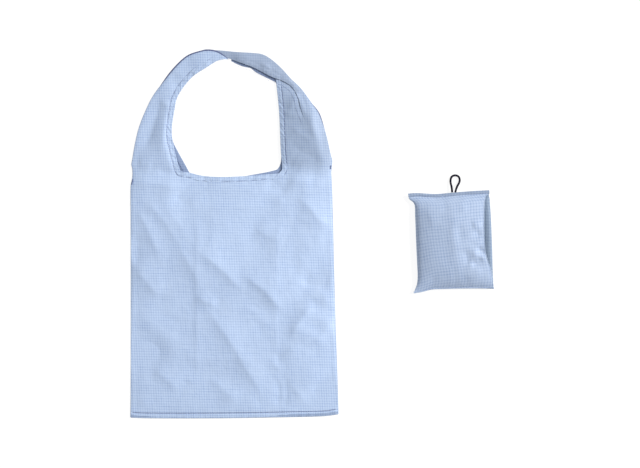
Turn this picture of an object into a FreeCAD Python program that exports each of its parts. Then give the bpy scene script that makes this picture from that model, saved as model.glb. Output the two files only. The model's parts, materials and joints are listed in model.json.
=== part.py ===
import FreeCAD, Part
import Sketcher
import math
import os

# Foldable shopping bag lying on its back, with its storage pouch beside it.
# Frame: +X across the bag, +Y from the bottom seam towards the handle, +Z up
# out of the front panel. The origin is on the surface under the upper body.
# The bag has three rigid stretches, the handle, the upper body and the lower
# body, with a soft fold line between each two of them.

V = FreeCAD.Vector
doc = FreeCAD.newDocument("foldable_tote_bag")
doc.UndoMode = 0

# alias, value, what it is (millimetres)
DRIVING = [
    ("bag_left", -186.5, "left side seam"),
    ("bag_right_top", 174.0, "right side seam at the shoulder"),
    ("bag_right_base", 186.5, "right side seam at the bottom"),
    ("bag_base", -330.0, "bottom edge"),
    ("bag_depth", 12.0, "height of the flat bag off the surface"),
    ("cloth", 1.6, "thickness that stands for one layer of cloth"),
    ("lower_fold", -123.0, "line across which the lower body folds up"),
    ("handle_fold", 118.0, "line across which the handle folds down"),
    ("fold_gap", 3.0, "half of the soft strip left free at a fold line"),
    ("hem_width", 9.0, "width of the turned hem"),
    ("hem_thick", 1.2, "thickness of the turned hem"),
    ("stitch_inset", 7.2, "stitch line to the hemmed edge"),
    ("thread", 0.6, "width and height of a row of stitches"),
    ("seam_height", 8.0, "height of the bottom seam band"),
    ("open_left", -113.0, "left side of the opening inside the handle"),
    ("open_right", 81.0, "right side of the opening inside the handle"),
    ("open_base", 102.0, "lowest line of the mouth"),
    ("open_round", 200.0, "line where the opening starts to close in"),
    ("open_rise", 114.0, "height of the opening's elliptical top"),
    ("corner_left", 60.0, "radius of the mouth's left corner"),
    ("corner_right", 34.0, "radius of the mouth's right corner"),
    ("handle_middle", -5.0, "middle of the handle's outer ellipse"),
    ("handle_half", 180.0, "half width of the handle's outer ellipse"),
    ("handle_rise", 213.0, "height of the handle above its fold line"),
    ("handle_depth", 7.0, "height of the flat handle off the surface"),
    ("join_middle", -16.0, "middle of the seam that joins the two straps"),
    ("join_half", 4.0, "half length of that seam"),
    ("pouch_left", 325.0, "folded side of the pouch"),
    ("pouch_right", 462.0, "open side of the pouch"),
    ("pouch_base", -93.0, "lower seam line of the pouch"),
    ("pouch_top", 69.0, "upper seam line of the pouch"),
    ("pouch_seam", 6.0, "height of the pouch's seam line"),
    ("pouch_depth", 26.0, "height of the filled pouch"),
    ("pouch_slope", 24.0, "how far the pouch rounds in from its edges"),
    ("pouch_flange", 6.0, "width of the pouch's seams"),
    ("loop_thick", 3.8, "diameter of the round elastic"),
    ("loop_middle", 397.5, "middle of the elastic loop, across"),
]

sheet = doc.addObject("Spreadsheet::Sheet", "dims")
for row, (alias, value, meaning) in enumerate(DRIVING, start=1):
    sheet.set(f"A{row}", alias)
    sheet.set(f"B{row}", str(value))
    sheet.set(f"C{row}", meaning)
    sheet.setAlias(f"B{row}", alias)
doc.recompute()

NODES = []
CLEAR = 5.0     # how far a cutting tool runs past what it cuts, in millimetres


def size(alias):
    """A driving dimension, for the few shapes that code has to build."""
    return float(sheet.get(alias))


def keep(obj, label):
    """Mark an object as a sub-part of the bag, under the name of its file."""
    obj.Label = label
    NODES.append(obj)
    return obj


def bound(obj, **expressions):
    """Bind properties to cells of the sheet; an underscore stands for a dot."""
    for name, expression in expressions.items():
        obj.setExpression(name.replace("_", "."), expression)
    return obj


def box(name, x, y, z):
    """A box whose x, y and z are each a pair of expressions, low and high."""
    made = doc.addObject("Part::Box", name)
    sides = (("Length", "Base.x", x), ("Width", "Base.y", y), ("Height", "Base.z", z))
    for side, corner, (low, high) in sides:
        made.setExpression(side, f"({high}) - ({low})")
        made.setExpression(f"Placement.{corner}", low)
    return made


def ellipse_slab(name, middle, base, half, rise, z):
    """A flat elliptical slab, its long axis along Y, between the two heights in z."""
    low, high = z
    curve = doc.addObject("Part::Ellipse", name + "_curve")
    curve.setExpression("MajorRadius", rise)
    curve.setExpression("MinorRadius", half)
    curve.Placement = FreeCAD.Placement(V(0, 0, 0), FreeCAD.Rotation(V(0, 0, 1), 90))
    bound(curve, Placement_Base_x=middle, Placement_Base_y=base, Placement_Base_z=low)
    slab = doc.addObject("Part::Extrusion", name)
    slab.Base = curve
    slab.DirMode = "Custom"
    slab.Dir = V(0, 0, 1)
    slab.Solid = True
    slab.setExpression("LengthFwd", f"({high}) - ({low})")
    return slab


def boolean(kind, name, base, tool):
    made = doc.addObject(f"Part::{kind}", name)
    made.Base = base
    made.Tool = tool
    return made


def cut(name, base, tool):
    return boolean("Cut", name, base, tool)


def common(name, base, tool):
    return boolean("Common", name, base, tool)


def opening(name, margin):
    """The mouth and the hand opening as one tall tool, grown outwards by margin."""
    tall = (f"-{CLEAR}", f"dims.bag_depth + {CLEAR}")
    sides = (f"dims.open_left - ({margin})", f"dims.open_right + {margin}")
    lower_y = (f"dims.open_base - ({margin})", "dims.open_round")
    lower = box(name + "_lower", sides, lower_y, tall)
    doc.recompute()
    rounded = doc.addObject("Part::Fillet", name + "_rounded")
    rounded.Base = lower
    grown = size("open_left") - lower.Shape.BoundBox.XMin
    corners = []
    for index, edge in enumerate(lower.Shape.Edges, start=1):
        upright = abs(edge.tangentAt(edge.FirstParameter).z) > 0.9
        at_base = edge.BoundBox.YMax < lower.Shape.BoundBox.YMin + 1e-6
        if upright and at_base:
            at_left = edge.BoundBox.XMax < lower.Shape.BoundBox.Center.x
            radius = grown + size("corner_left" if at_left else "corner_right")
            corners.append((index, radius, radius))
    rounded.Edges = corners
    middle = "(dims.open_left + dims.open_right) / 2"
    half = f"(dims.open_right - dims.open_left) / 2 + {margin}"
    rise = f"dims.open_rise + {margin}"
    whole = ellipse_slab(name + "_ellipse", middle, "dims.open_round", half, rise, tall)
    above_y = ("dims.open_round", f"dims.open_round + {rise} + {CLEAR}")
    above = box(name + "_above", sides, above_y, tall)
    tool = doc.addObject("Part::MultiFuse", name)
    tool.Shapes = [rounded, common(name + "_upper", whole, above)]
    return tool


def right_edge(y):
    """The slanting right side seam's x at a height y, as an expression."""
    share = f"(dims.handle_fold - ({y})) / (dims.handle_fold - dims.bag_base)"
    return f"dims.bag_right_top + (dims.bag_right_base - dims.bag_right_top) * {share}"


def panel(name, y, z):
    """One stretch of a bag panel: a four-sided sketch padded by the cloth."""
    low, high = y
    body = doc.addObject("PartDesign::Body", name)
    sketch = body.newObject("Sketcher::SketchObject", name + "_outline")
    plane = next(f for f in body.Origin.OriginFeatures if f.Role == "XY_Plane")
    sketch.AttachmentSupport = [(plane, "")]
    sketch.MapMode = "FlatFace"
    sketch.setExpression("AttachmentOffset.Base.x", "dims.bag_left")
    sketch.setExpression("AttachmentOffset.Base.y", low)
    sketch.setExpression("AttachmentOffset.Base.z", z)
    # a rough outline, which the constraints then bring to size
    wide, narrow, tall = 350, 340, 200
    corners = [V(0, 0, 0), V(wide, 0, 0), V(narrow, tall, 0), V(0, tall, 0)]
    for start, end in zip(corners, corners[1:] + corners[:1]):
        sketch.addGeometry(Part.LineSegment(start, end))
    bottom, right, top, left = range(4)
    for first, second in ((bottom, right), (right, top), (top, left), (left, bottom)):
        sketch.addConstraint(Sketcher.Constraint("Coincident", first, 2, second, 1))
    sketch.addConstraint(Sketcher.Constraint("Coincident", bottom, 1, -1, 1))
    sketch.addConstraint(Sketcher.Constraint("Horizontal", bottom))
    sketch.addConstraint(Sketcher.Constraint("Horizontal", top))
    sketch.addConstraint(Sketcher.Constraint("Vertical", left))
    sizes = (
        ("DistanceX", bottom, wide, f"{right_edge(low)} - dims.bag_left"),
        ("DistanceX", top, narrow, f"{right_edge(high)} - dims.bag_left"),
        ("DistanceY", left, tall, f"({high}) - ({low})"),
    )
    for kind, line, rough, expression in sizes:
        # the top and left lines run backwards round the outline
        ends = (line, 1, line, 2) if line == bottom else (line, 2, line, 1)
        index = sketch.addConstraint(Sketcher.Constraint(kind, *ends, rough))
        sketch.setExpression(f"Constraints[{index}]", expression)
    pad = body.newObject("PartDesign::Pad", name + "_cloth")
    pad.Profile = sketch
    pad.setExpression("Length", "dims.cloth")
    return body


def ring(name, wide, narrow):
    """The strip of the opening's rim that lies between two margins."""
    return cut(name, opening(name + "_wide", wide), opening(name + "_narrow", narrow))


def wedge(name, wall, height, upward, open_side):
    """
    Half of the pouch as a frustum on its seam line, with its walls set in by wall.
    The hollow runs out past the open side.
    """
    made = doc.addObject("Part::Wedge", name)
    turn = 90 if upward else -90
    made.Placement = FreeCAD.Placement(V(0, 0, 0), FreeCAD.Rotation(V(1, 0, 0), turn))
    made.setExpression("Placement.Base.z", "dims.pouch_seam")
    ends = ("dims.pouch_base", "dims.pouch_top")
    low, high = ends if not upward else (f"-{ends[1]}", f"-({ends[0]})")
    out = CLEAR if open_side else 0
    bound(
        made,
        Xmin=f"dims.pouch_left + {wall}",
        Xmax=f"dims.pouch_right + {out}",
        X2min=f"dims.pouch_left + dims.pouch_slope + {wall}",
        X2max=f"dims.pouch_right - dims.cloth + {out}",
        Ymin="0",
        Ymax=height,
        Zmin=f"{low} + {wall}",
        Zmax=f"{high} - {wall}",
        Z2min=f"{low} + dims.pouch_slope + {wall}",
        Z2max=f"{high} - dims.pouch_slope - {wall}",
    )
    return made


def pouch_shell(name, height, upward):
    """One hollow half of the pouch, above or below its seam line."""
    outer = wedge(name + "_outer", "0", height, upward, False)
    hollow = wedge(name + "_hollow", "dims.cloth", f"{height} - dims.cloth", upward, True)
    return cut(name + "_shell", outer, hollow)


def route_path(points):
    """Straight runs joined by tangent arcs, each as large as its two runs allow."""
    edges = []
    start = points[0]
    for before, corner, after in zip(points, points[1:], points[2:]):
        back = (before - corner).normalize()
        ahead = (after - corner).normalize()
        run = min((before - corner).Length, (after - corner).Length)
        setback = 0.45 * run
        half_turn = (math.pi - back.getAngle(ahead)) / 2
        radius = setback / math.tan(half_turn)
        print(f"loop arc radius {radius:.1f} mm, turn {math.degrees(2 * half_turn):.0f} degrees")
        first = corner + back * setback
        last = corner + ahead * setback
        inward = (back + ahead).normalize()
        middle = corner + inward * (radius / math.cos(half_turn) - radius)
        edges.append(Part.LineSegment(start, first).toShape())
        edges.append(Part.Arc(first, middle, last).toShape())
        start = last
    edges.append(Part.LineSegment(start, points[-1]).toShape())
    return Part.Wire(edges)


# Expressions for the layers, from the surface up.
BAG_BACK = ("0", "dims.cloth")
BAG_FRONT = ("dims.bag_depth - dims.cloth", "dims.bag_depth")
BAG_BACK_HEM = ("dims.cloth", "dims.cloth + dims.hem_thick")
BAG_FRONT_HEM = ("dims.bag_depth - dims.cloth - dims.hem_thick", "dims.bag_depth - dims.cloth")
BAG_FRONT_THREAD = ("dims.bag_depth", "dims.bag_depth + dims.thread")
STRAP_BACK = ("0", "dims.cloth")
STRAP_FRONT = ("dims.handle_depth - dims.cloth", "dims.handle_depth")
STRAP_BACK_HEM = ("dims.cloth", "dims.cloth + dims.hem_thick")
STRAP_FRONT_HEM = (
    "dims.handle_depth - dims.cloth - dims.hem_thick",
    "dims.handle_depth - dims.cloth",
)
STRAP_THREAD = ("dims.handle_depth", "dims.handle_depth + dims.thread")

LOWER_Y = ("dims.bag_base", "dims.lower_fold - dims.fold_gap")
UPPER_Y = ("dims.lower_fold + dims.fold_gap", "dims.handle_fold - dims.fold_gap")
STRAP_Y = (
    "dims.handle_fold + dims.fold_gap",
    f"dims.handle_fold + dims.handle_rise + {CLEAR}",
)
BETWEEN_PANELS = (BAG_BACK[1], BAG_FRONT[0])
BETWEEN_STRAPS = (STRAP_BACK[1], STRAP_FRONT[0])

mouth_tool = opening("opening_tool", "0")
hem_tool = ring("hem_tool", "dims.hem_width", "0")
thread_tool = ring("thread_tool", "dims.stitch_inset + dims.thread", "dims.stitch_inset")


def upper_body():
    """The two panels between the fold lines, their side seams and the hemmed mouth."""
    across = ("dims.bag_left", "dims.bag_right_top")
    mouth_y = (f"dims.open_base - dims.hem_width - {CLEAR}", UPPER_Y[1])
    for side, z in (("back", BAG_BACK), ("front", BAG_FRONT)):
        cloth = panel(f"{side}_upper_blank", UPPER_Y, z[0])
        keep(cut(f"{side}_upper_cut", cloth, mouth_tool), f"{side}_panel_upper")
    for side, z in (("back", BAG_BACK_HEM), ("front", BAG_FRONT_HEM)):
        layer = box(f"mouth_{side}_layer", across, mouth_y, z)
        keep(common(f"mouth_{side}_strip", layer, hem_tool), f"mouth_hem_{side}")
    layer = box("mouth_thread_layer", across, mouth_y, BAG_FRONT_THREAD)
    keep(common("mouth_thread", layer, thread_tool), "mouth_stitching")


def side_seams(stretch, y):
    """The left and right side seams of one stretch, standing between its panels."""
    for side in ("left", "right"):
        wall = panel(f"{side}_{stretch}_wall", y, BETWEEN_PANELS[0])
        wall.Tip.setExpression("Length", f"{BETWEEN_PANELS[1]} - {BETWEEN_PANELS[0]}")
        inner = panel(f"{side}_{stretch}_inner", y, BETWEEN_PANELS[0])
        inner.Tip.setExpression("Length", "dims.bag_depth")
        shift = "dims.cloth" if side == "left" else "-dims.cloth"
        inner.setExpression("Placement.Base.x", shift)
        keep(cut(f"{side}_{stretch}_seam", wall, inner), f"side_seam_{side}_{stretch}")


def lower_body():
    """The panels below the lower fold line, and the seam that closes the bottom."""
    above_seam = ("dims.bag_base + dims.seam_height", LOWER_Y[1])
    keep(panel("back_lower_cloth", LOWER_Y, BAG_BACK[0]), "back_panel_lower")
    keep(panel("front_lower_cloth", LOWER_Y, BAG_FRONT[0]), "front_panel_lower")
    side_seams("lower", above_seam)
    seam_y = (LOWER_Y[0], above_seam[0])
    band = panel("bottom_seam_band", seam_y, BETWEEN_PANELS[0])
    band.Tip.setExpression("Length", f"{BETWEEN_PANELS[1]} - {BETWEEN_PANELS[0]}")
    keep(band, "bottom_seam")
    thread_y = ("dims.bag_base + dims.stitch_inset", "dims.bag_base + dims.stitch_inset + dims.thread")
    row = box("bottom_thread", ("dims.bag_left", right_edge(thread_y[0])), thread_y, BAG_FRONT_THREAD)
    keep(row, "bottom_stitching")


def strap_layer(name, z):
    """The handle's whole flat arch at one height, with the opening not yet cut."""
    return ellipse_slab(
        name, "dims.handle_middle", "dims.handle_fold", "dims.handle_half", "dims.handle_rise", z
    )


def handle():
    """The left and right straps, each of two layers, and the seam that joins them."""
    reach = f"(dims.handle_half + {CLEAR})"
    tall = (f"-{CLEAR}", f"dims.bag_depth + {CLEAR}")
    halves = {
        "left": (f"dims.handle_middle - {reach}", "dims.join_middle - dims.join_half"),
        "right": ("dims.join_middle + dims.join_half", f"dims.handle_middle + {reach}"),
    }
    layers = {
        "back": (STRAP_BACK, STRAP_BACK_HEM),
        "front": (STRAP_FRONT, STRAP_FRONT_HEM),
    }
    for side, x in halves.items():
        region = box(f"{side}_region", x, STRAP_Y, tall)
        for layer, (cloth_z, hem_z) in layers.items():
            key = f"{side}_{layer}"
            arch = common(f"{key}_arch", strap_layer(f"{key}_slab", cloth_z), region)
            keep(cut(f"{key}_band", arch, mouth_tool), f"strap_{side}_{layer}")
            hem_arch = common(f"{key}_hem_arch", strap_layer(f"{key}_hem_slab", hem_z), region)
            keep(common(f"{key}_hem", hem_arch, hem_tool), f"strap_hem_{side}_{layer}")
        inner = ellipse_slab(
            f"{side}_edge_inner",
            "dims.handle_middle",
            "dims.handle_fold",
            "dims.handle_half - dims.cloth",
            "dims.handle_rise - dims.cloth",
            tall,
        )
        rim = cut(f"{side}_edge_rim", strap_layer(f"{side}_edge_slab", BETWEEN_STRAPS), inner)
        keep(common(f"{side}_edge", rim, region), f"strap_edge_{side}")
        row = common(f"{side}_row_arch", strap_layer(f"{side}_row_slab", STRAP_THREAD), region)
        keep(common(f"{side}_row", row, thread_tool), f"strap_stitching_{side}")
    x = (halves["left"][1], halves["right"][0])
    region = box("join_region", x, STRAP_Y, tall)
    block = common("join_arch", strap_layer("join_slab", ("0", "dims.handle_depth")), region)
    keep(cut("join_block", block, mouth_tool), "strap_join_seam")


def pouch():
    """The storage pouch, hollow and open at its right side, with its seams and hems."""
    keep(pouch_shell("pouch_front", "dims.pouch_depth - dims.pouch_seam", True), "pouch_front")
    keep(pouch_shell("pouch_back", "dims.pouch_seam", False), "pouch_back")
    x = ("dims.pouch_left", "dims.pouch_right")
    z = ("dims.pouch_seam - dims.cloth", "dims.pouch_seam + dims.cloth")
    edges = {
        "top": ("dims.pouch_top", "dims.pouch_top + dims.pouch_flange"),
        "bottom": ("dims.pouch_base - dims.pouch_flange", "dims.pouch_base"),
    }
    for side, y in edges.items():
        keep(box(f"pouch_{side}_flange", x, y, z), f"pouch_seam_{side}")
    hem_x = ("dims.pouch_right - dims.cloth - dims.hem_width", "dims.pouch_right - dims.cloth")
    inset = "dims.pouch_slope + 2 * dims.cloth"
    hem_y = (f"dims.pouch_base + {inset}", f"dims.pouch_top - ({inset})")
    hem_z = {
        "back": ("dims.cloth", "dims.cloth + dims.hem_thick"),
        "front": (
            "dims.pouch_depth - dims.cloth - dims.hem_thick",
            "dims.pouch_depth - dims.cloth",
        ),
    }
    for side, layer in hem_z.items():
        keep(box(f"pouch_{side}_turned", hem_x, hem_y, layer), f"pouch_hem_{side}")
    middles = {
        "top": "dims.pouch_top + dims.pouch_flange / 2",
        "bottom": "dims.pouch_base - dims.pouch_flange / 2",
    }
    thread_z = (z[1], f"{z[1]} + dims.thread")
    for side, middle in middles.items():
        row = box(f"pouch_{side}_row", x, (middle, f"{middle} + dims.thread"), thread_z)
        keep(row, f"pouch_stitching_{side}")


def loop():
    """
    The round elastic that holds the rolled pouch shut. Both its ends stop just clear of
    the seam that they are sewn into, so that the loop can tilt about that edge.
    """
    seam_edge = V(size("loop_middle"), size("pouch_top") + size("pouch_flange"), 0)
    high = size("pouch_seam")
    low = size("loop_thick") / 2 + 0.1
    clear = 1.2
    route = [
        V(-5.8, clear, high),
        V(-6.3, 8.3, high - 1.2),
        V(-9.2, 18.5, low + 0.9),
        V(-6.9, 28.0, low),
        V(0.3, 30.4, low),
        V(7.3, 27.5, low),
        V(8.5, 18.0, low + 0.7),
        V(2.1, 8.5, high - 1.2),
        V(-0.2, clear, high),
    ]
    path = route_path([seam_edge + point for point in route])
    start = path.Edges[0]
    axis = start.tangentAt(start.FirstParameter)
    radius = size("loop_thick") / 2
    end = start.valueAt(start.FirstParameter)
    section = Part.Wire(Part.Circle(end, axis, radius).toShape())
    tube = path.makePipeShell([section], True, False, 2)
    print(f"loop length {path.Length:.1f} mm, volume {tube.Volume:.1f},"
          f" section times length {math.pi * radius ** 2 * path.Length:.1f} mm3")
    made = doc.addObject("Part::Feature", "elastic_tube")
    made.Shape = tube
    keep(made, "elastic_loop")


upper_body()
side_seams("upper", UPPER_Y)
lower_body()
handle()
pouch()
loop()
doc.recompute()

for obj in doc.Objects:
    if "Invalid" in obj.State or "Error" in obj.State:
        raise RuntimeError(f"{obj.Label} failed: {obj.State}")
for obj in NODES:
    if obj.Shape.isNull() or not obj.Shape.isValid() or not obj.Shape.Solids:
        raise RuntimeError(f"{obj.Label} has no valid solid")

os.makedirs("parts", exist_ok=True)
for obj in NODES:
    obj.Shape.exportStep(os.path.join("parts", obj.Label + ".step"))
    bounds = obj.Shape.BoundBox
    print(f"{obj.Label}: {len(obj.Shape.Solids)} solid(s), {obj.Shape.Volume:.0f} mm3,"
          f" z {bounds.ZMin:.1f} to {bounds.ZMax:.1f}")
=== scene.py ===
import json
import math

import bpy
import numpy as np
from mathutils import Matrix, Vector, geometry


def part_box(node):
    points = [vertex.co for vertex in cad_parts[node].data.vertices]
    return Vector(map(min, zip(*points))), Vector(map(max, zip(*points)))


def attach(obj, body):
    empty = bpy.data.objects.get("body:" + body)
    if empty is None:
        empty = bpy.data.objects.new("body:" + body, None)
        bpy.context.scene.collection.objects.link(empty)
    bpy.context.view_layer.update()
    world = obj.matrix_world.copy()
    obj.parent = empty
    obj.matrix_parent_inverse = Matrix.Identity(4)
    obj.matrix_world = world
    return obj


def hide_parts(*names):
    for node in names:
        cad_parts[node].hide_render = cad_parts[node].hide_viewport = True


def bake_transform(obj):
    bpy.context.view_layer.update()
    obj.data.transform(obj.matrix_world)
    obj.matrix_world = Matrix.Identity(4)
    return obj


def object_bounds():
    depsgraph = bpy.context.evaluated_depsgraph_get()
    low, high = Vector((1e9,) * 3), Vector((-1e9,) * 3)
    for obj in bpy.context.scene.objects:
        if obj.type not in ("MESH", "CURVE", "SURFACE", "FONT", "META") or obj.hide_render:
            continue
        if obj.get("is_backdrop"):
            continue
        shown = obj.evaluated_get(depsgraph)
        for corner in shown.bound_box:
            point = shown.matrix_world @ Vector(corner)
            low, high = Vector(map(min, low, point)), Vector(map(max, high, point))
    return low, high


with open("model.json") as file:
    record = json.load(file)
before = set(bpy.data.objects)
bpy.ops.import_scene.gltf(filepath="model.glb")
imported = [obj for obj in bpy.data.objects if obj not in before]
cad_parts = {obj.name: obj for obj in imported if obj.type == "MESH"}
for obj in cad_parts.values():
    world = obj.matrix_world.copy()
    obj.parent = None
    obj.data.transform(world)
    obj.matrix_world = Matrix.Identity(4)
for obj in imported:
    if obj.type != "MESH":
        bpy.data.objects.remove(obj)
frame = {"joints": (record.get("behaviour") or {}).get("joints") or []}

# Foldable shopping bag lying flat, with its storage pouch and elastic loop beside it.
# Lengths in this script are millimetres in the frame's axes, and MM turns them into
# metres where an object is made. Heights grow towards the viewer.

MM = 0.001
CAD_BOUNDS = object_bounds()
JOINTS = {joint["name"]: joint for joint in frame["joints"]}


def node_box(node):
    """Lowest and highest corner of a CAD node in millimetres."""
    low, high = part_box(node)
    return np.array(low) / MM, np.array(high) / MM


# ---------------------------------------------------------------- places from the frame

LEFT = node_box("back_panel_upper")[0][0]
RIGHT_BASE = node_box("bottom_seam")[1][0]
RIGHT_TOP = node_box("strap_right_back")[1][0] - 1.0
BASE = node_box("bottom_seam")[0][1]
APEX = node_box("strap_right_back")[1][1]
MOUTH = node_box("back_panel_upper")[1][1] - 13.0
FOLD_HANDLE, FOLD_HANDLE_HIGH = np.array(JOINTS["handle_fold"]["pos_m"][1:]) / MM
FOLD_LOWER, FOLD_LOWER_HIGH = np.array(JOINTS["lower_fold"]["pos_m"][1:]) / MM
POUCH_SEAM = (node_box("pouch_seam_top")[0][2] + node_box("pouch_seam_top")[1][2]) / 2

SPLIT = -20.0           # where the upper and lower pieces of a panel meet
CLOTH = 0.45            # thickness of one layer, thin but solid
HEM = 9.0               # width of the turned hem
STITCH_IN = 7.8         # from a hemmed edge to its row of stitches
HEM_CREASE_IN = 8.7     # from a hemmed edge to the painted shadow line of the crease beside its stitches
BOTTOM_STITCH_IN = 7.9  # from the bottom edge to its row of stitches
BOTTOM_LINE_IN = 9.0    # from the bottom edge to the fold that closes its band, drawn in painted shadow
SEED = 11
NOISE_START = 40        # where in the seeded noise the waves start
GATHER_START = 30       # and the gathers beside a seam
TINY = 1e-9             # keeps a division by a length from failing


# ---------------------------------------------------------------- numbers and curves

def step(low, high, value):
    """0 below low, 1 above high, smooth in between."""
    share = np.clip((value - low) / (high - low), 0.0, 1.0)
    return share * share * (3 - 2 * share)


def unit(vectors):
    """The vectors at length 1."""
    return vectors / np.maximum(np.linalg.norm(vectors, axis=-1), TINY)[..., None]


def run_of(line):
    """How far along a line each of its points lies."""
    return np.concatenate([[0.0], np.cumsum(np.linalg.norm(np.diff(line, axis=0), axis=1))])


def length_of(line):
    """A line's whole length."""
    return np.linalg.norm(np.diff(line, axis=0), axis=1).sum()


def leftward(line):
    """At each point of a line, the direction in the plane to its left."""
    ahead = unit(np.gradient(line[:, :2], axis=0))
    return np.stack([-ahead[:, 1], ahead[:, 0]], axis=1)


# Pairs of knots that each round of smooth_curve blends between.
KNOT_PAIRS = (((0, 1), (1, 2), (2, 3)), ((0, 2), (1, 3)), ((1, 2),))


def smooth_curve(points, spacing=3.0):
    """A smooth curve through a few points, as points about spacing apart."""
    given = np.array(points, float)
    ends = np.vstack([2 * given[0] - given[1], given, 2 * given[-1] - given[-2]])
    made = []
    for four in zip(ends, ends[1:], ends[2:], ends[3:]):
        knots = [0.0]
        for a, b in zip(four, four[1:]):
            knots.append(knots[-1] + math.sqrt(max(np.linalg.norm(b - a), 1e-6)))
        count = max(1, int(np.linalg.norm(four[2] - four[1]) / spacing))
        for share in np.arange(count) / count:
            at = knots[1] + (knots[2] - knots[1]) * share
            level = four
            for pairs in KNOT_PAIRS:
                level = [
                    (b * (at - knots[i]) + a * (knots[j] - at)) / (knots[j] - knots[i])
                    for a, b, (i, j) in zip(level, level[1:], pairs)
                ]
            made.append(level[0])
    return np.array([*made, given[-1]])


def even(line, spacing):
    """The same line with its points an even distance apart."""
    line = np.array(line, float)
    run = run_of(line)
    count = max(2, int(round(run[-1] / spacing)) + 1)
    at = np.linspace(0.0, run[-1], count)
    return np.stack([np.interp(at, run, column) for column in line.T], axis=1)


def to_line(points, line):
    """For each point: distance to the line, signed side (left is positive), and run along it."""
    points = points[:, :2]
    line = np.array(line, float)[:, :2]
    best = np.full(len(points), np.inf)
    side, along = np.zeros((2, len(points)))
    run = 0.0
    for start, end in zip(line, line[1:]):
        span = end - start
        length = np.linalg.norm(span)
        if length < TINY:
            continue
        share = np.clip(((points - start) @ span) / length ** 2, 0.0, 1.0)
        gap = points - (start + share[:, None] * span)
        distance = np.linalg.norm(gap, axis=1)
        nearer = distance < best
        best = np.where(nearer, distance, best)
        cross = (span[0] * gap[:, 1] - span[1] * gap[:, 0]) / length
        side = np.where(nearer, np.sign(cross), side)
        along = np.where(nearer, run + share * length, along)
        run += length
    return best, side, along / max(run, TINY)


def gap_to(points, line):
    """Distance of each point from a line."""
    return to_line(points, line)[0]


def inside(points, outline):
    """Which points lie inside a closed outline."""
    found = np.zeros(len(points), bool)
    x, y = points[:, 0], points[:, 1]
    for (x0, y0), (x1, y1) in zip(outline, np.roll(outline, -1, axis=0)):
        if y0 == y1:
            continue
        crosses = (y0 > y) != (y1 > y)
        found ^= crosses & (x < (x1 - x0) * (y - y0) / (y1 - y0) + x0)
    return found


class Noise:
    """Smooth seeded noise over the plane, between about -1 and 1."""

    def __init__(self, seed, cells=64):
        turn = np.random.default_rng(seed).uniform(0, 2 * math.pi, (cells, cells))
        self.gradient = np.stack([np.cos(turn), np.sin(turn)], axis=-1)
        self.cells = cells

    def __call__(self, x, y):
        x0, y0 = np.floor(x).astype(int), np.floor(y).astype(int)
        fx, fy = x - x0, y - y0
        sx, sy = (f ** 3 * (f * (f * 6 - 15) + 10) for f in (fx, fy))
        total = 0.0
        for dx in (0, 1):
            for dy in (0, 1):
                g = self.gradient[(x0 + dx) % self.cells, (y0 + dy) % self.cells]
                share = (sx if dx else 1 - sx) * (sy if dy else 1 - sy)
                total = total + share * (g[..., 0] * (fx - dx) + g[..., 1] * (fy - dy))
        return total * 1.6


# ---------------------------------------------------------------- meshes

GRID_FROM_RIM = 0.55    # a sheet's even points keep this far from its outline, in spacings
GRID_FROM_ROWS = 0.4    # and this far from the last fine row
FINE_SPACING = 2.0      # between the points of a fine row
FINE_FROM_RIM = 0.9     # fine points keep this far from the outline
FINE_FROM_LINE = 0.8    # and from each line, as a share of its nearest row's distance
STITCH_ROUND = 2.6      # how blunt a stitch's ends are
STITCH_END = 0.12       # radius of its very ends, as a share of its thickness
STITCH_BOW = 0.16       # how far its ends dip
STITCH_SINK = 0.05      # how deep it lies in the cloth


def inset(line, distance):
    """The line moved to its left, in the plane."""
    line = np.array(line, float)[:, :2]
    return line + leftward(line) * distance


def fine_rows(outline, closed, rows_along):
    """Rows of points beside lines, at given distances, that stay inside an outline."""
    rows = [even(inset(line, gap), FINE_SPACING) for line, gaps in rows_along for gap in gaps]
    if not rows:
        return np.zeros((0, 2))
    fine = np.vstack(rows)
    fine = fine[inside(fine, outline)]
    fine = fine[gap_to(fine, closed) > FINE_FROM_RIM]
    keep = np.ones(len(fine), bool)
    for line, gaps in rows_along:
        keep &= gap_to(fine, line) > min(gaps) * FINE_FROM_LINE
    return fine[keep]


def lattice(outline, spacing, rows_along=()):
    """
    Points and triangles that fill a closed outline with an even triangular grid. Each entry
    of rows_along is (line, distances): finer rows of points beside a line, for a stitched hem.
    """
    outline = np.array(outline, float)
    low, high = outline.min(0), outline.max(0)
    grid = []
    for number, y in enumerate(np.arange(low[1], high[1], spacing * math.sqrt(0.75))):
        x = np.arange(low[0] + (number % 2) * spacing / 2, high[0], spacing)
        grid.append(np.stack([x, np.full(len(x), y)], axis=1))
    grid = np.concatenate(grid)
    grid = grid[inside(grid, outline)]
    closed = np.vstack([outline, outline[:1]])
    clear = gap_to(grid, closed) > spacing * GRID_FROM_RIM
    for line, gaps in rows_along:
        clear &= gap_to(grid, line) > max(gaps) + spacing * GRID_FROM_ROWS
    fine = fine_rows(outline, closed, rows_along)
    points = [Vector(p) for p in np.vstack([outline, grid[clear], fine])]
    count = len(outline)
    edges = [(i, (i + 1) % count) for i in range(count)]
    made = geometry.delaunay_2d_cdt(points, edges, [], 1, 1e-6)
    return np.array([(p.x, p.y) for p in made[0]]), [list(f) for f in made[2]]


def rim_edges(faces):
    """The directed edges that belong to one face only."""
    directed = {edge: True for face in faces for edge in zip(face, face[1:] + face[:1])}
    return [(a, b) for a, b in directed if (b, a) not in directed]


def in_scene(name, data):
    """A new object in the scene."""
    made = bpy.data.objects.new(name, data)
    bpy.context.scene.collection.objects.link(made)
    return made


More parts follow.
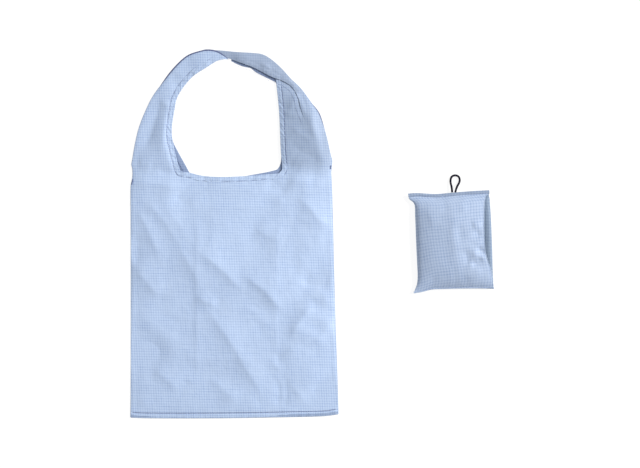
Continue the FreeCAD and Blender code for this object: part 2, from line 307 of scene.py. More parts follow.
def mesh_object(name, points, faces, flat=None, slots=None, sharp=50.0):
    """A mesh object in metres, with the cloth's flat coordinates as its UVs."""
    mesh = bpy.data.meshes.new(name)
    mesh.from_pydata([tuple(p) for p in np.array(points) * MM], [], [list(f) for f in faces])
    layer = mesh.uv_layers.new(name="flat")
    flat = np.array(points)[:, :2] if flat is None else np.array(flat)
    corners = np.zeros(len(mesh.loops), np.int32)
    mesh.loops.foreach_get("vertex_index", corners)
    layer.data.foreach_set("uv", (flat[corners] * MM).astype(np.float32).ravel())
    if slots is not None:
        mesh.polygons.foreach_set("material_index", np.array(slots, np.int32))
    mesh.polygons.foreach_set("use_smooth", np.ones(len(mesh.polygons), bool))
    mesh.update()
    mesh.set_sharp_from_angle(angle=math.radians(sharp))
    return in_scene(name, mesh)


def closed_sheet(name, first, second, faces, flat, outer_first, rim_slot):
    """A thin closed sheet between two layers of points. Slot 0 is its outside, 1 its reverse."""
    count = len(first)
    under = [[i + count for i in reversed(face)] for face in faces]
    rim = [[b, a, a + count, b + count] for a, b in rim_edges(faces)]
    top, bottom = (0, 1) if outer_first else (1, 0)
    slots = [top] * len(faces) + [bottom] * len(faces) + [rim_slot] * len(rim)
    points = np.vstack([first, second])
    return mesh_object(name, points, faces + under + rim, np.vstack([flat, flat]), slots)


def cloth(name, flat, faces, top, outer_up=True):
    """A sheet whose upper side is at the heights in top."""
    upper, lower = (np.column_stack([flat, level]) for level in (top, top - CLOTH))
    return closed_sheet(name, upper, lower, faces, flat, outer_up, 0)


def ring_faces(rings, count):
    """Faces of a closed tube: rings of count points each, and a cap at both ends."""
    faces = [
        [i * count + j, (i + 1) * count + j, (i + 1) * count + k, i * count + k]
        for i in range(rings - 1)
        for j, k in zip(range(count), [*range(1, count), 0])
    ]
    faces.append(list(range(count)))
    faces.append([(rings - 1) * count + j for j in reversed(range(count))])
    return faces


def swept(name, line, profile, taper=0.0):
    """
    A closed profile carried along a line. Each profile point is (sideways, up), with
    sideways to the left of the line's direction. Over the length taper it thins out
    towards both ends.
    """
    line = np.array(line, float)
    profile = np.array(profile, float)
    run = run_of(line)
    from_end = np.minimum(run, run[-1] - run)
    full = np.sqrt(np.clip(from_end / taper, 0.02, 1.0)) if taper else np.ones(len(line))
    points = np.zeros((len(line), len(profile), 3))
    sideways = profile[None, :, :1] * full[:, None, None]
    points[:, :, :2] = line[:, None, :2] + leftward(line)[:, None, :] * sideways
    points[:, :, 2] = line[:, None, 2] + profile[None, :, 1] * full[:, None]
    return mesh_object(name, points.reshape(-1, 3), ring_faces(len(line), len(profile)))


def oval(width, height, count=10, middle=(0.0, 0.0)):
    """An oval profile, turning so that a swept tube faces outwards."""
    turn = -np.arange(count) / count * 2 * math.pi
    across = middle[0] + np.cos(turn) * width / 2
    return np.stack([across, middle[1] + np.sin(turn) * height / 2], axis=1)


def stitches(name, lines, length=2.3, pitch=3.0, thick=0.42):
    """Rows of short rounded stitches that lie along lines of (x, y, z) points."""
    around, along = 6, 5
    ring = np.arange(around) / around * 2 * math.pi
    t = np.linspace(-1, 1, along)
    radius = np.sqrt(np.maximum(0.0, 1 - np.abs(t) ** STITCH_ROUND)) * thick / 2
    radius[[0, -1]] = thick * STITCH_END
    one = [face[::-1] for face in ring_faces(along, around)]
    points, faces = [], []
    for line in lines:
        path = even(line, pitch)
        for start, end in zip(path[:-1], path[1:]):
            ahead = unit(end - start)
            side = unit(np.cross([0, 0, 1.0], ahead))
            up = np.cross(ahead, side)
            middle = (start + end) / 2 + up * (thick / 2 - STITCH_SINK)
            first = len(points)
            for share, r in zip(t, radius):
                core = middle + ahead * share * length / 2 - up * STITCH_BOW * share ** 2
                for angle in ring:
                    points.append(core + (side * math.cos(angle) + up * math.sin(angle)) * r)
            faces += [[first + i for i in face] for face in one]
    return mesh_object(name, np.array(points), faces, sharp=80.0)


# ---------------------------------------------------------------- materials

CHECK_ACROSS = 4.32     # one repeat of the woven check, along the cloth's width
CHECK_ALONG = 4.70      # and along its length
CHECK_LEAN = (3.5, 0.9)     # how far its two ways lean, in degrees
POUCH_LEAN = (4.5, -4.5)
POUCH_CHECK = 1.2       # the pouch's check, as a share of the bag's
YARN = 0.42             # one yarn over and one under
STRAP_FROM = (0.098, 0.135)     # the strap's legs begin between these heights, in metres


class Nodes:
    """A material's node tree with short calls for the nodes used here."""

    def __init__(self, name):
        self.material = bpy.data.materials.new(name)
        self.material.use_nodes = True
        self.tree = self.material.node_tree
        self.shader = self.tree.nodes["Principled BSDF"]

    def link(self, source, target):
        """Feeds an input from an output, a number or a colour."""
        if isinstance(source, bpy.types.NodeSocket):
            self.tree.links.new(source, target)
        else:
            target.default_value = (*source, 1.0) if isinstance(source, tuple) else source

    def add(self, kind, inputs, **settings):
        """A new node with its settings, fed by inputs."""
        node = self.tree.nodes.new(f"ShaderNode{kind}")
        for name, value in settings.items():
            setattr(node, name, value)
        for name, source in inputs.items():
            self.link(source, node.inputs[name])
        return node

    def math(self, operation, *values, clamp=False):
        inputs = dict(enumerate(values))
        return self.add("Math", inputs, operation=operation, use_clamp=clamp).outputs[0]

    def limited(self, value):
        """The value kept between 0 and 1."""
        return self.math("MINIMUM", self.math("MAXIMUM", value, 0.0), 1.0)

    def sine(self, place, per_metre):
        return self.math("SINE", self.math("MULTIPLY", place, per_metre))

    def mix(self, share, a, b, way="MIX"):
        inputs = {"Factor": share, "A": a, "B": b}
        return self.add("Mix", inputs, data_type="RGBA", blend_type=way).outputs["Result"]

    def noise(self, vector, scale, detail=2.0, roughness=0.5):
        inputs = {"Vector": vector, "Scale": scale, "Detail": detail, "Roughness": roughness}
        return self.add("TexNoise", inputs).outputs["Fac"]

    def ramp(self, value, start, end):
        """0 at start, 1 at end, smooth in between."""
        inputs = {
            "Value": value, "From Min": min(start, end), "From Max": max(start, end),
            "To Min": float(start > end), "To Max": float(start < end),
        }
        return self.add("MapRange", inputs, interpolation_type="SMOOTHSTEP").outputs["Result"]

    def split(self, place):
        node = self.add("SeparateXYZ", {0: place})
        return node.outputs["X"], node.outputs["Y"]

    def bump(self, height, distance, strength):
        inputs = {"Height": height, "Distance": distance, "Strength": strength}
        self.shade(Normal=self.add("Bump", inputs).outputs["Normal"])

    def shade(self, **values):
        """Feeds the shader's inputs; a name's _ stands for a space."""
        for name, source in values.items():
            self.link(source, self.shader.inputs[name.replace("_", " ")])


def toned(colour, tone):
    """The colour at a share of its brightness."""
    return tuple(part * tone for part in colour)


def check_share(nodes, across, along, uneven, scale):
    """Share of the check's darker colour: soft stripes both ways, their yarns uneven."""
    share = 0.0
    for place, other, pitch in ((across, along, CHECK_ACROSS), (along, across, CHECK_ALONG)):
        wave = nodes.sine(place, 2 * math.pi / (pitch * scale * MM))
        stripe = nodes.limited(nodes.math("MULTIPLY_ADD", wave, 1.6, 0.48))
        inputs = {"X": nodes.math("MULTIPLY", place, 420.0), "Y": nodes.math("MULTIPLY", other, 26.0)}
        yarn = nodes.noise(nodes.add("CombineXYZ", inputs).outputs[0], 1.0, 2.0, 0.6)
        strength = nodes.math("MULTIPLY_ADD", yarn, 1.5, -0.22)
        share = nodes.math("ADD", share, nodes.math("MULTIPLY", stripe, strength))
    share = nodes.math("MULTIPLY", share, 0.62)
    slub = nodes.math("SUBTRACT", uneven, 0.5)
    return nodes.limited(nodes.math("MULTIPLY_ADD", slub, 0.5, share))


def check_cloth(name, ground, line, scale=1.0, lean=CHECK_LEAN, legs=(), fade=None):
    """
    Woven mini check: uneven coloured yarns both ways on a lighter ground. legs paints shade on the
    left and right leg of the strap. fade is (height, height, ground, line): between the two
    heights the cloth turns to those other colours, a painted shade gradient.
    """
    nodes = Nodes(name)
    uv = nodes.add("UVMap", {}, uv_map="flat").outputs["UV"]
    x, y = nodes.split(uv)
    lean_x, lean_y = (math.tan(math.radians(angle)) for angle in lean)
    across = nodes.math("ADD", x, nodes.math("MULTIPLY", y, lean_x))
    along = nodes.math("ADD", y, nodes.math("MULTIPLY", x, lean_y))
    uneven = nodes.noise(uv, 1100.0, 3.0, 0.65)
    share = check_share(nodes, across, along, uneven, scale)
    drift = nodes.math("SUBTRACT", nodes.noise(uv, 22.0), 0.42)
    veil = nodes.math("MULTIPLY", drift, 0.45, clamp=True)
    colour = nodes.mix(veil, nodes.mix(share, ground, line), toned(ground, 0.9))
    if fade:
        other = nodes.mix(share, fade[2], fade[3])
        colour = nodes.mix(nodes.ramp(y, *fade[:2]), colour, other)
    # painted shade: each leg of the strap darkened by its tone
    for tone, beyond in zip(legs, (-0.02, 0.02)):
        leg = nodes.math("MULTIPLY", nodes.ramp(y, *STRAP_FROM), nodes.ramp(x, 0.0, beyond))
        colour = nodes.mix(leg, colour, nodes.mix(1.0, colour, (tone,) * 3, "MULTIPLY"))
    weave = [nodes.sine(place, 2 * math.pi / (YARN * MM)) for place in (across, along)]
    crumpled = nodes.noise(uv, 230.0, 3.0, 0.55)
    height = nodes.math("MULTIPLY_ADD", nodes.math("MULTIPLY", *weave), 0.03, crumpled)
    nodes.bump(height, 0.00045, 0.6)
    nodes.shade(Base_Color=colour, Roughness=nodes.math("MULTIPLY_ADD", uneven, 0.16, 0.54))
    nodes.shade(Sheen_Weight=0.12, Sheen_Roughness=0.45, Specular_IOR_Level=0.32)
    return nodes.material


def thread_material():
    """Matt twisted sewing thread."""
    nodes = Nodes("sewing_thread")
    fuzz = nodes.noise(nodes.add("TexCoord", {}).outputs["Object"], 3800.0)
    nodes.bump(fuzz, 0.0001, 0.5)
    colour = nodes.mix(fuzz, (0.08, 0.11, 0.25), (0.19, 0.25, 0.44))
    nodes.shade(Base_Color=colour, Roughness=0.7, Sheen_Weight=0.2)
    return nodes.material


def elastic_material():
    """Black round elastic: a fine braid that shimmers a little."""
    nodes = Nodes("round_elastic")
    x, y = nodes.split(nodes.add("TexCoord", {}).outputs["Object"])
    ways = [nodes.sine(nodes.math(way, x, y), 7000.0) for way in ("ADD", "SUBTRACT")]
    braid = nodes.math("MULTIPLY", *ways)
    nodes.bump(braid, 0.00025, 0.8)
    share = nodes.math("MULTIPLY_ADD", braid, 0.5, 0.5)
    colour = nodes.mix(share, (0.004, 0.003, 0.010), (0.014, 0.012, 0.030))
    nodes.shade(Base_Color=colour, Roughness=0.8, Specular_IOR_Level=0.15)
    return nodes.material


GROUND, LINE = (0.47, 0.578, 0.765), (0.268, 0.365, 0.585)
# the cloth's greyer reverse, darkened further with painted shade
SHADED_GREY_GROUND, SHADED_GREY_LINE = (0.31, 0.375, 0.50), (0.22, 0.285, 0.415)
LEG_SHADE_TONES = (0.95, 0.72)    # painted shade: the left and right leg of the strap darker, as they tilt away from the light
OUTER = check_cloth("check_cloth", GROUND, LINE, legs=LEG_SHADE_TONES)
REVERSE = check_cloth("check_cloth_reverse", SHADED_GREY_GROUND, SHADED_GREY_LINE)
# painted shade: the turned half is grey at its top and fades lower down to the shaded right-leg
# colours
TURNED = check_cloth(
    "check_cloth_turned", SHADED_GREY_GROUND, SHADED_GREY_LINE,
    fade=(0.275, 0.225, toned(GROUND, LEG_SHADE_TONES[1]), toned(LINE, LEG_SHADE_TONES[1])),
)
# painted shade: the inside of the bag darkened as if in shade, darker higher up and lighter below 0.18
# m
INSIDE_SHADE = check_cloth(
    "check_cloth_inside_shaded", (0.20, 0.26, 0.41), (0.10, 0.14, 0.26),
    fade=(0.26, 0.18, (0.25, 0.32, 0.48), (0.15, 0.21, 0.36)),
)
# painted shade: the seam rolls darker than the cloth, for the shade along and under them
SEAM_SHADE = check_cloth("seam_cloth", (0.30, 0.38, 0.54), (0.19, 0.26, 0.42))
# painted shadow: near-black cloth for strips laid where folds and creases lie in shadow
FOLD_SHADOW = check_cloth("fold_shadow_cloth", (0.10, 0.12, 0.24), (0.05, 0.07, 0.16))
POUCH_OUTER, POUCH_REVERSE, POUCH_SEAM_SHADE = (
    check_cloth(name, ground, line, POUCH_CHECK, POUCH_LEAN)
    for name, ground, line in (
        ("pouch_cloth", (0.388, 0.47, 0.618), (0.221, 0.299, 0.473)),
        ("pouch_cloth_reverse", (0.20, 0.265, 0.36), (0.12, 0.165, 0.265)),
        # painted shade: the pouch's top seam roll darker, for the shade along the seam
        ("pouch_seam_cloth_shaded", (0.27, 0.335, 0.45), (0.16, 0.215, 0.34)),
    )
)
THREAD = thread_material()
ELASTIC = elastic_material()

# For each fold: the body that moves, where its hinge line is, the way from there to the
# moving side, and the hinge's height.
FOLDS = {
    "handle": ("handle", FOLD_HANDLE, 1, FOLD_HANDLE_HIGH),
    "lower": ("lower_body", FOLD_LOWER, -1, FOLD_LOWER_HIGH),
}


def finish_piece(piece, materials, nodes, slot="cloth", body=None, blend=None):
    """Gives a piece its materials, hides its CAD nodes, hangs it on a body if one is given, and bakes
    its placement if it has a blend.
    """
    for material in materials:
        piece.data.materials.append(material)
    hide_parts(*nodes)
    if body:
        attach(piece, body)
    if blend:
        moving, fold, way, high = FOLDS[blend]
        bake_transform(piece)


def edging(name, line, profile, tone, nodes, taper=0.0, **move):
    """A finished roll or strip of one cloth along a line."""
    finish_piece(swept(name, line, profile, taper), (tone,), nodes, **move)


def sewing(name, rows, nodes, sizes=None, **move):
    """Finished rows of stitches."""
    finish_piece(stitches(name, rows, **(sizes or {})), (THREAD,), nodes, "thread", **move)


# ---------------------------------------------------------------- camera, light, floor

VIEW_WIDE = 1152.0              # what the camera takes in, from side to side
VIEW_MIDDLE = (153.9, -0.9)
LENS, SENSOR = 110.0, 36.0
FLOOR_HALF = 6.0                # half the floor's side, in metres
FLOOR_HIGH = -0.0002            # just under the cloth, in metres


def camera():
    """Straight above, through a long lens, as wide as the bag and its pouch need."""
    data = bpy.data.cameras.new("camera")
    data.lens = LENS
    data.sensor_width = SENSOR
    data.clip_end = 20.0
    made = in_scene("camera", data)
    made.location = [value * MM for value in (*VIEW_MIDDLE, VIEW_WIDE * LENS / SENSOR + 5.0)]
    bpy.context.scene.camera = made


def area_light(name, place, size, power, colour):
    """A round lamp that shines on the bag."""
    data = bpy.data.lights.new(name, "AREA")
    data.shape = "DISK"
    data.size = size
    data.energy = power
    data.color = colour
    made = in_scene(name, data)
    made.location = place
    aim = Vector((0.1, 0, 0)) - Vector(place)
    made.rotation_euler = aim.to_track_quat("-Z", "Y").to_euler()


def studio():
    """A white floor in soft light from the upper right."""
    bpy.context.scene.view_settings.view_transform = "Standard"
    world = bpy.data.worlds.new("studio")
    world.use_nodes = True
    sky = world.node_tree.nodes["Background"].inputs
    sky["Color"].default_value = (0.96, 0.98, 1.0, 1)
    sky["Strength"].default_value = 0.46
    bpy.context.scene.world = world
    area_light("key", (4.6, 1.5, 3.05), 2.1, 425.0, (1.0, 0.99, 0.97))
    area_light("fill", (-1.6, 1.2, 2.4), 1.6, 12.0, (0.97, 0.98, 1.0))
    mesh = bpy.data.meshes.new("floor")
    corners = [(-1, -1), (1, -1), (1, 1), (-1, 1)]
    points = [(x * FLOOR_HALF, y * FLOOR_HALF, FLOOR_HIGH) for x, y in corners]
    mesh.from_pydata(points, [], [(0, 1, 2, 3)])
    floor = in_scene("floor", mesh)
    nodes = Nodes("pale_floor")
    # mostly its own light, so that it stays white with hardly a shadow
    nodes.shade(Base_Color=(0.17, 0.17, 0.17), Roughness=0.9)
    nodes.shade(Emission_Color=(1.0, 1.0, 1.0), Emission_Strength=0.87)
    floor.data.materials.append(nodes.material)
    floor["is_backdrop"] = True


# ---------------------------------------------------------------- elastic loop

ELASTIC_WIDE = 0.0038           # in metres, like the route
ELASTIC_ROUTE = [
    (0.3917, 0.0742, 0.0060),
    (0.3912, 0.0833, 0.0048),
    (0.3883, 0.0935, 0.0029),
    (0.3906, 0.1030, 0.0020),
    (0.3978, 0.1054, 0.0020),
    (0.4048, 0.1025, 0.0020),
    (0.4060, 0.0930, 0.0027),
    (0.3996, 0.0835, 0.0048),
    (0.3973, 0.0742, 0.0060),
]


def elastic_loop():
    """The round elastic, lying on the surface beyond the pouch's top seam."""
    curve = bpy.data.curves.new("elastic_cord", "CURVE")
    curve.dimensions = "3D"
    spline = curve.splines.new("NURBS")
    spline.points.add(len(ELASTIC_ROUTE) - 1)
    for point, place in zip(spline.points, ELASTIC_ROUTE):
        point.co = (*place, 1.0)
    spline.order_u = 3
    spline.use_endpoint_u = True
    spline.resolution_u = 10
    curve.bevel_depth = ELASTIC_WIDE / 2
    curve.bevel_resolution = 5
    curve.use_fill_caps = True
    cord = in_scene("elastic_cord", curve)
    curve.materials.append(ELASTIC)
    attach(cord, "loop")
    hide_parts("elastic_loop")


# ---------------------------------------------------------------- outlines of the bag

# Each run of points is a smooth edge; a corner is where two runs meet. The front and the
# back layer share the stretches LEFT_ARCH and RIGHT_LEG of the handle's inner edges.
BOTTOM_EDGE = [
    (LEFT - 0.5, BASE - 1), (LEFT + 25, BASE - 2), (-20, BASE - 2), (100, BASE),
    (165, BASE + 2), (RIGHT_BASE, BASE + 5),
]
RIGHT_SIDE = [
    (RIGHT_BASE, BASE + 5), (RIGHT_BASE - 1.6, BASE + 60), (RIGHT_BASE - 6.5, FOLD_LOWER),
    (RIGHT_TOP + 2.6, 20), (RIGHT_TOP + 0.6, MOUTH - 12), (RIGHT_TOP - 0.6, MOUTH + 8),
]
RIGHT_SHOULDER = [
    (RIGHT_TOP - 0.6, MOUTH + 8), (RIGHT_TOP + 0.6, FOLD_HANDLE + 4),
    (RIGHT_TOP + 1.4, FOLD_HANDLE + 13),
]
RIGHT_STRAP_OUTER = [
    (RIGHT_TOP + 1.4, FOLD_HANDLE + 13), (171, 148), (165, 175), (156, 204), (150, 218.5),
    (139.5, 233), (118, 262), (103.5, 276),
]
LEFT_SIDE = [
    (LEFT + 1.6, MOUTH - 8), (LEFT + 0.2, MOUTH - 14), (LEFT, 20), (LEFT + 0.3, FOLD_LOWER),
    (LEFT, BASE + 60), (LEFT - 0.5, BASE - 1),
]
LEFT_SHOULDER = [
    (LEFT + 0.9, FOLD_HANDLE + 6), (LEFT + 2.6, FOLD_HANDLE), (LEFT + 3.2, MOUTH + 3),
    (LEFT + 1.6, MOUTH - 8),
]
LEFT_STRAP_OUTER = [
    (-53, APEX - 2.5), (-82, 319.5), (-100, 305), (-125, 276), (-146.5, 247.5), (-161, 218.5),
    (-172, 190), (-179, 161), (-184, 132), (LEFT + 0.9, FOLD_HANDLE + 6),
]
STRAP_FOLD_EDGE = [(-11, 313.2), (-16, 317), (-31.5, 326), (-43, 328.4), (-53, APEX - 2.5)]
LEFT_ARCH = [(-109, 222), (-103.5, 246), (-78, 281), (-53, 298), (-31.5, 311)]
LEFT_STRAP_INNER = [
    (-98, 111.6), (-100.6, 119), (-109.4, 154), (-112.5, 168), (-113.6, 187), *LEFT_ARCH,
    (-16, 313.6), (-11, 313.2),
]
MOUTH_FRONT = [
    (80.4, 108.4), (73, 107.2), (64, 106.6), (40, 104.4), (12, MOUTH + 0.6), (-17, MOUTH - 0.6),
    (-43, MOUTH), (-67, 105.2), (-80, 108.6), (-98, 111.6),
]
RIGHT_LEG = [(76.2, 264.5), (80.6, 220), (82.6, 175)]
RIGHT_STRAP_INNER = [
    (56, 300), (60, 291), (68, 284), (74, 279), (75.4, 272), *RIGHT_LEG, (84, 145), (86.2, 124),
    (85.8, 114.4), (80.4, 108.4),
]
RIGHT_STRAP_TOP = [(103.5, 276), (84, 293.5), (70, 304), (56, 300)]

BACK_TOP_RIGHT = [(103.5, 276), (80, 301), (60, 317.5), (47, 322.8), (35, 324), (3, 326), (-6, 325)]
BACK_RIGHT_END = [(-6, 325), (-6, 310.5)]
BACK_RIGHT_INNER = [
    (-6, 310.5), (15, 301.5), (30, 298), (37, 292), (69, 275.5), (75, 272), *RIGHT_LEG,
    (84.2, 145), (84, 130), (81.5, 121), (77, 114.6),
]
BACK_MOUTH = [
    (77, 114.6), (60, 110.4), (36, 106), (12, 102), (-20, 100.6), (-60, 103.6), (-82, 109.6),
]
BACK_LEFT_INNER = [
    (-82, 109.6), (-88, 121), (-104, 150), (-112, 167), (-113.8, 187), *LEFT_ARCH, (-18, 313.8),
]
BACK_FOLD_EDGE = [(-18, 313.8), (-22, 318), (-33, 323.4), (-43, 326), (-53, APEX - 2.5)]
TURNED_OUTER = [
    (-50, 322), (-50, 329), (-30, 330), (3, 327), (35, 325), (48, 323.4), (60, 318), (80, 302),
    (103.7, 276.4), (118, 262), (138.4, 232.4), (148.6, 217.4), (156, 200), (160, 184),
]
TURNED_END = [(160, 184), (156, 170), (147, 162), (139, 166), (134, 180)]
TURNED_INNER = [
    (134, 180), (130, 194), (127, 204), (121.5, 219), (114, 246), (103.5, 264), (93, 271.5), (84, 276),
    (67, 282), (35, 298.6), (15, 306), (-10, 315), (-28, 318), (-50, 322),
]


def joined(*runs, spacing=3.0):
    """A closed outline from smooth runs, each starting where the one before ends."""
    return np.vstack([even(smooth_curve(run), spacing)[:-1] for run in runs])


FRONT_OUTLINE = (
    BOTTOM_EDGE, RIGHT_SIDE, RIGHT_SHOULDER, RIGHT_STRAP_OUTER, RIGHT_STRAP_TOP,
    RIGHT_STRAP_INNER, MOUTH_FRONT, LEFT_STRAP_INNER, STRAP_FOLD_EDGE, LEFT_STRAP_OUTER,
    LEFT_SHOULDER, LEFT_SIDE,
)
BACK_OUTLINE = (
    BOTTOM_EDGE, RIGHT_SIDE, RIGHT_SHOULDER, RIGHT_STRAP_OUTER, BACK_TOP_RIGHT, BACK_RIGHT_END,
    BACK_RIGHT_INNER, BACK_MOUTH, BACK_LEFT_INNER, BACK_FOLD_EDGE, LEFT_STRAP_OUTER,
    LEFT_SHOULDER, LEFT_SIDE,
)
TURNED_OUTLINE = (TURNED_OUTER, TURNED_END, TURNED_INNER)


def hem_line(*runs):
    """One open line along smooth runs."""
    return even(np.vstack([smooth_curve(run) for run in runs]), 3.0)


HEM_FRONT = hem_line(RIGHT_STRAP_INNER, MOUTH_FRONT, LEFT_STRAP_INNER)
HEM_BACK = hem_line(BACK_RIGHT_INNER, BACK_MOUTH, BACK_LEFT_INNER)
HEM_TURNED = hem_line(TURNED_INNER)
LEFT_OUTER_LINE = hem_line(LEFT_STRAP_OUTER, LEFT_SHOULDER, LEFT_SIDE)
RIGHT_OUTER_LINE = hem_line(RIGHT_SIDE, RIGHT_SHOULDER, RIGHT_STRAP_OUTER)
CLOSED_SIDES = {"left": LEFT_OUTER_LINE, "right": RIGHT_OUTER_LINE}
CLOSED_BOTTOM = hem_line(BOTTOM_EDGE)


# ---------------------------------------------------------------- heights of the bag's cloth

# A crease is (height, width on its left, width on its right, points): a ridge, or a valley
# where the height is negative. Left and right are seen along the points. A narrow side next
# to a wide one is a fold that has fallen over.
PACKING_CREASES = [
    (0.7, 9, 2.6, [(-66, 66), (-68, -40), (-68, -150), (-67, -322)]),
    (0.6, 2.6, 9, [(80, 70), (77, -40), (76, -150), (77, -322)]),
    (0.5, 9, 2.6, [(-68, 49), (-10, 48), (40, 48), (80, 47)]),
    (0.7, 14, 3.0, [(80, -126), (110, -121), (145, -121), (179, -122)]),
    (0.4, 2.6, 9, [(-120, -227), (-40, -225), (40, -225), (120, -226)]),
    (-0.9, 5, 4, [(76, -88), (76, -110), (77, -138)]),
    (-1.0, 4, 4, [(76, -212), (78, -230), (76, -240)]),
    (-1.2, 4, 5, [(75, -258), (80, -288), (76, -318)]),
    (-0.8, 4, 4, [(88, -250), (93, -280), (90, -318)]),
]
PULL_CREASES = [
    (3.4, 34, 13.0, [(-180, 76), (-150, 50), (-126, 22), (-94, -28), (-68, -81), (-44, -116)]),
    (2.4, 22, 10.0, [(-186, 54), (-164, 24), (-146, -16), (-124, -60)]),
    (4.0, 40, 12.0, [(-80, -22), (-50, -42), (-20, -66), (4, -90), (30, -108)]),
    (4.8, 46, 12.0, [(6, -66), (28, -82), (52, -100), (76, -126), (96, -146)]),
    (2.2, 10, 7.0, [(-70, -108), (-50, -124), (-26, -128)]),
    (3.4, 34, 11.5, [(-64, -116), (-38, -150), (-16, -180), (8, -219), (44, -278), (68, -322)]),
    (2.4, 26, 11.0, [(-186, -54), (-160, -84), (-130, -120)]),
    (2.6, 26, 11.0, [(-150, -236), (-118, -266), (-92, -286)]),
    (1.8, 24, 11.0, [(-46, -258), (-14, -286), (12, -310)]),
    (3.2, 24, 11.0, [(108, 70), (134, 50), (152, 26), (182, 12)]),
    (4.4, 16, 15, [(96, -196), (114, -164), (128, -144), (146, -120)]),
    (2.8, 12, 24, [(156, -168), (132, -190), (110, -204), (80, -228)]),
    (3.0, 11, 22, [(184, -146), (168, -168), (152, -190), (136, -212)]),
    (-4.0, 20, 18, [(-235, -211), (-176, -212), (-110, -206)]),
    (-3.8, 26, 24, [(136, -266), (162, -291), (192, -310)]),
    (-3.0, 14, 12, [(-186, 0), (-179, -30), (-174, -60)]),
    (2.4, 20, 12, [(32, 10), (58, -2), (94, -16)]),
    (-2.6, 12, 14, [(112, -83), (142, -87), (176, -84)]),
    (-4.6, 17, 12, [(-30, 108), (-58, 92), (-86, 72), (-124, 48)]),
    (3.6, 24, 18, [(-196, 92), (-150, 90), (-118, 86), (-80, 82)]),
    (-2.2, 12, 12, [(54, 94), (74, 84), (96, 70)]),
    (2.4, 18, 18, [(92, 97), (118, 94), (144, 90)]),
]
STRAP_CREASES = [
    (-3.0, 9, 7, [(-124, 246), (-133, 232), (-146, 200), (-156, 170), (-166, 142)]),
    (1.4, 5, 5, [(-137, 237), (-124, 233), (-112, 227)]),
    (1.6, 5, 8, [(-120, 222), (-126, 190), (-130, 160), (-132, 134)]),
    (-1.8, 6, 7, [(-146, 114), (-118, 110), (-84, 108)]),
    (1.4, 9, 9, [(-176, 130), (-160, 124), (-146, 120)]),
    (2.0, 12, 10, [(-146, 262), (-128, 262), (-104, 268)]),
    (1.2, 10, 5, [(-112, 292), (-94, 286), (-74, 292)]),
    (2.0, 5, 9, [(116, 256), (108, 240), (98, 220)]),
    (1.8, 4, 8, [(124, 216), (108, 213), (88, 217)]),
    (2.4, 12, 12, [(140, 222), (140, 196), (146, 164)]),
    (-2.4, 16, 16, [(94, 168), (118, 150), (150, 132), (172, 124)]),
    (-1.6, 9, 9, [(92, 130), (104, 122), (120, 114)]),
    (1.2, 6, 9, [(98, 196), (120, 178), (150, 158)]),
    (-1.4, 6, 6, [(150, 214), (160, 186), (166, 160)]),
]
TURNED_CREASES = [
    (1.4, 4, 7, [(30, 314), (60, 300), (92, 281), (112, 262)]),
    (1.5, 8, 6, [(124, 252), (138, 226), (146, 200)]),
    (0.9, 4, 6, [(-10, 322), (20, 316), (44, 314)]),
]
FOLD_ROUND = 14.0       # how blunt a crease is, in square millimetres
LEAST_HIGH = 1.95       # of the front layer, which stays clear of the back layer


def small_creases(count, low, high):
    """Seeded short creases all over a rectangle, mostly running down to the right."""
    random = np.random.default_rng(SEED + 80)
    made = []
    for _ in range(count):
        middle = random.uniform(low, high)
        turn = random.normal(-0.9, 0.7)
        half = random.uniform(12, 34) * np.array([math.cos(turn), math.sin(turn)])
        bow = random.normal(0, 4, 2)
        height = random.uniform(0.25, 0.75) * random.choice([-1, 1])
        widths = random.uniform(4, 13, 2)
        made.append((height, *widths, [middle - half, middle + bow, middle + half]))
    return made


SMALL_CREASES = [
    *small_creases(80, (-175, -310), (170, 95)),
    *small_creases(40, (70, -130), (175, 230)),
]


def creases(points, chosen, ease=0.35):
    """The total height of some creases, each fading out at its ends."""
    total = np.zeros(len(points))
    for height, left, right, line in chosen:
        distance, side, along = to_line(points, smooth_curve(line, 8.0))
        ends = step(0, ease, along) * step(0, ease, 1 - along)
        width = np.where(side > 0, left, right)
        rounded = np.sqrt(distance ** 2 + FOLD_ROUND) - math.sqrt(FOLD_ROUND)
        total += height * ends * np.exp(-rounded / width)
    return total


def waves(points, length, seed):
    """Smooth seeded noise with hills and hollows about length across."""
    noise = Noise(SEED + seed)
    return noise(points[:, 0] / length + NOISE_START, points[:, 1] / length + NOISE_START)


def crumple(points, length, seed):
    """Ridged noise: flat facets between fine creases, as cloth has after it was packed small."""
    bent = waves(points, length * 1.7, seed + 1)[:, None] * np.array([0.4, 0.3]) * length
    return 0.6 - 2 * np.abs(waves(points + bent, length, seed))


def pucker(points, line, pitch, reach, seed):
    """Little gathers that run off a row of stitches."""
    distance, _, along = to_line(points, line)
    run = along * length_of(line) / pitch
    gathers = Noise(SEED + seed)(run + GATHER_START, distance / (reach * 3) + GATHER_START)
    return gathers * np.exp(-distance / reach)


def apex_lift(points):
    """1 where the left half of the strap lies over the turned right half."""
    x, y = points[:, 0], points[:, 1]
    return step(-92, -56, x) * step(270, 292, y) * (x < 20)


def hem_ridge(distance, height=0.55, foot=9.6, stitch_in=STITCH_IN):
    """The turned hem shows as a low step with a groove along its stitches."""
    return height * step(foot, 8.2, distance) - 0.9 * np.exp(-(distance - stitch_in) ** 2)


def hem_gathers(points, line, seed):
    """Slanting gathers in the hem, between its edge and its stitches."""
    distance, _, along = to_line(points, line)
    slant = (along * length_of(line) - distance * 1.3) / 5.2
    gathers = Noise(SEED + seed)(slant + GATHER_START, distance / 30 + GATHER_START)
    return 0.7 * gathers * step(10.5, 7.0, distance)


def leg_tilt(x, y, hem, sides):
    """Both legs of the strap rise slowly to a fold on their right, and fall off it quickly."""
    leg = step(100, 135, y) * step(268, 235, y)
    right = 5.4 * np.minimum(hem / 64, 1) * step(-2, 20, sides) * (x > 0)
    left = 4.2 * step(0, 62, sides) * step(2, 15, hem) * (x < 0)
    return leg * (right + left)


